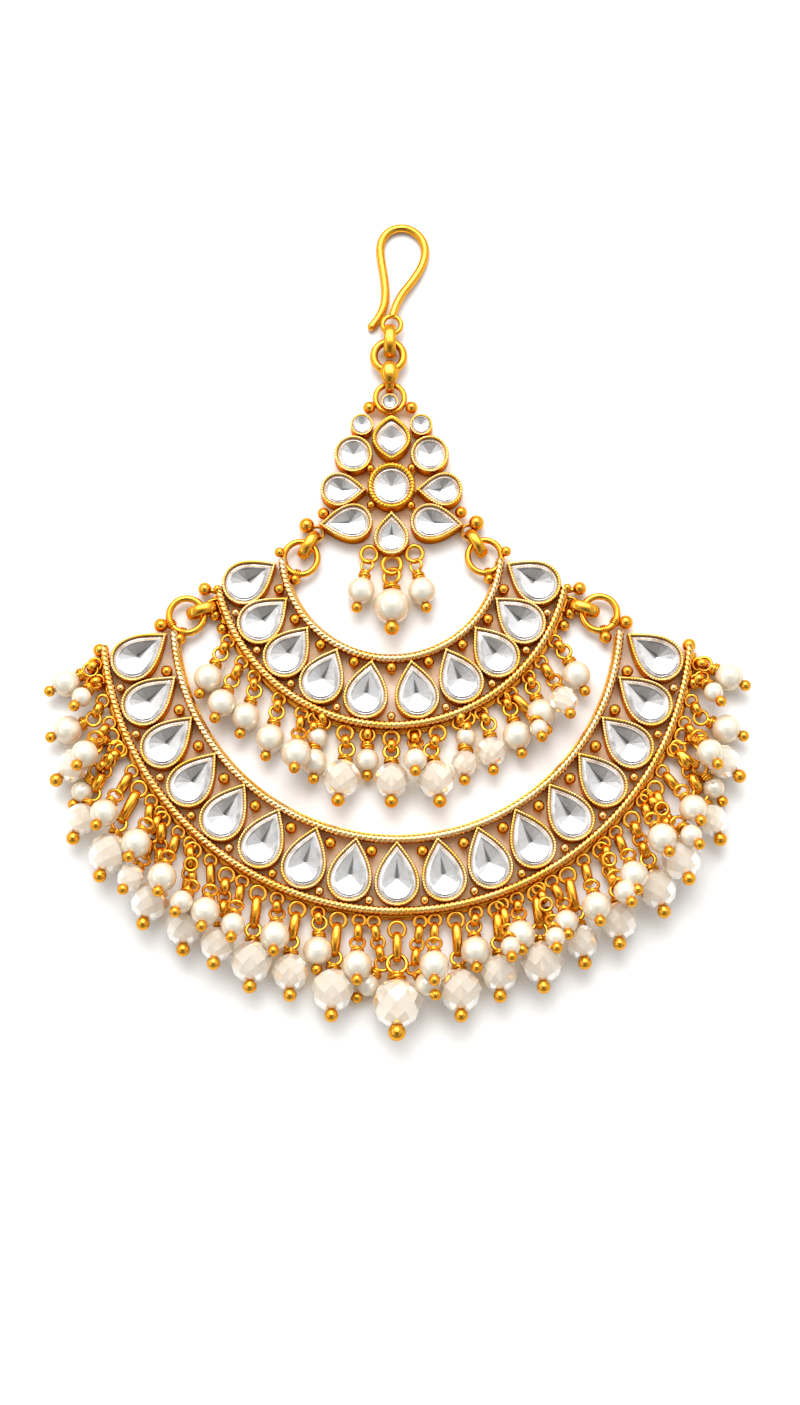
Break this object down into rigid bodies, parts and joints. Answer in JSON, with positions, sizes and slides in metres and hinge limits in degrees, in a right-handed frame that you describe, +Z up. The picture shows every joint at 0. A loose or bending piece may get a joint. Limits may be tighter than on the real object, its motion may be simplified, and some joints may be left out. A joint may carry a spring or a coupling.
{
  "type": "passa headpiece",
  "caption": "Side headpiece with a hook, a stone-set crest and two crescents of pear-shaped stones, each fringed with pearls and round glass beads.",
  "frame": {"origin": "middle of the footprint, on the surface that the piece lies on", "axes": "+Z up from the stones' faces, +Y towards the hook, X across the crescents"},
  "size_m": [0.1096, 0.1316, 0.0099],
  "materials": {
    "gold_plate": "polished warm gold plating, darker in the recesses",
    "clear_stone": "foil-backed clear glass, bevelled and polished",
    "pearl": "creamy pearl lustre",
    "peach_bead": "milky peach faceted glass"
  },
  "bodies": {
    "root": {"bail": "gold_plate", "centre_drop": "peach_bead", "crest_drop_left": "pearl", "crest_drop_middle": "pearl", "crest_drop_right": "pearl", "crest_frame": "gold_plate", "crest_link_left": "gold_plate", "crest_link_right": "gold_plate", "crest_stone_centre": "clear_stone", "crest_stone_corner_left": "clear_stone", "crest_stone_corner_right": "clear_stone", "crest_stone_low": "clear_stone", "crest_stone_marquise": "clear_stone", "crest_stone_round_left": "clear_stone", "crest_stone_round_right": "clear_stone", "crest_stone_side_left": "clear_stone", "crest_stone_side_right": "clear_stone", "crest_stone_small_left": "clear_stone", "crest_stone_small_right": "clear_stone", "crest_stone_top": "clear_stone", "hook": "gold_plate", "hook_link": "gold_plate", "lower_crescent": "gold_plate", "lower_fringe_left_inner": "pearl", "lower_fringe_left_outer": "pearl", "lower_fringe_right_inner": "pearl", "lower_fringe_right_outer": "pearl", "lower_stone_left_1": "clear_stone", "lower_stone_left_2": "clear_stone", "lower_stone_left_3": "clear_stone", "lower_stone_left_4": "clear_stone", "lower_stone_left_5": "clear_stone", "lower_stone_left_6": "clear_stone", "lower_stone_left_7": "clear_stone", "lower_stone_left_8": "clear_stone", "lower_stone_middle": "clear_stone", "lower_stone_right_1": "clear_stone", "lower_stone_right_2": "clear_stone", "lower_stone_right_3": "clear_stone", "lower_stone_right_4": "clear_stone", "lower_stone_right_5": "clear_stone", "lower_stone_right_6": "clear_stone", "lower_stone_right_7": "clear_stone", "lower_stone_right_8": "clear_stone", "side_link_left": "gold_plate", "side_link_right": "gold_plate", "top_ring": "gold_plate", "upper_crescent": "gold_plate", "upper_fringe_left": "pearl", "upper_fringe_right": "pearl", "upper_stone_left_1": "clear_stone", "upper_stone_left_2": "clear_stone", "upper_stone_left_3": "clear_stone", "upper_stone_left_4": "clear_stone", "upper_stone_left_5": "clear_stone", "upper_stone_right_1": "clear_stone", "upper_stone_right_2": "clear_stone", "upper_stone_right_3": "clear_stone", "upper_stone_right_4": "clear_stone", "upper_stone_right_5": "clear_stone"}
  },
  "joints": []
}
